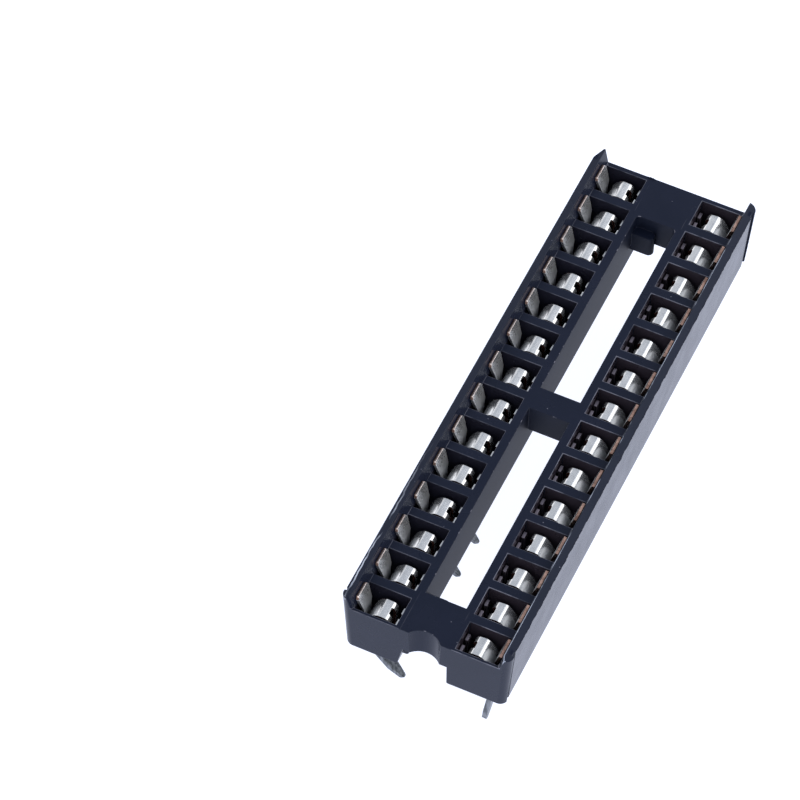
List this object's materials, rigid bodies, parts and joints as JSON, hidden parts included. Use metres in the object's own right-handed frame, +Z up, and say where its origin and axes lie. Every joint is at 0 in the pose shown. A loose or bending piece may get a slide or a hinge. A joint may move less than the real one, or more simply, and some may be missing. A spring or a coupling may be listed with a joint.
{
  "type": "ic socket",
  "caption": "Dual-in-line chip socket: open-frame moulded housing with side lips, an end notch and stamped dual-leaf contacts with solder pins.",
  "frame": {"origin": "on the plane of the straight solder pins' tips, at the middle of the part", "axes": "+X across the two rows, towards the row that starts beside the notch with the first contact; +Y along the rows, away from the notched end; +Z up, the way a chip leaves the socket"},
  "size_m": [0.0102, 0.0356, 0.0083],
  "materials": {
    "housing_plastic": "glass-filled black moulding, satin",
    "contact_metal": "tin-plated, bright, with bare sheared edges"
  },
  "bodies": {
    "root": {"housing": "housing_plastic", "contact_01": "contact_metal", "contact_02": "contact_metal", "contact_03": "contact_metal", "contact_04": "contact_metal", "contact_05": "contact_metal", "contact_06": "contact_metal", "contact_07": "contact_metal", "contact_08": "contact_metal", "contact_09": "contact_metal", "contact_10": "contact_metal", "contact_11": "contact_metal", "contact_12": "contact_metal", "contact_13": "contact_metal", "contact_14": "contact_metal", "contact_15": "contact_metal", "contact_16": "contact_metal", "contact_17": "contact_metal", "contact_18": "contact_metal", "contact_19": "contact_metal", "contact_20": "contact_metal", "contact_21": "contact_metal", "contact_22": "contact_metal", "contact_23": "contact_metal", "contact_24": "contact_metal", "contact_25": "contact_metal", "contact_26": "contact_metal", "contact_27": "contact_metal", "contact_28": "contact_metal"}
  },
  "joints": []
}
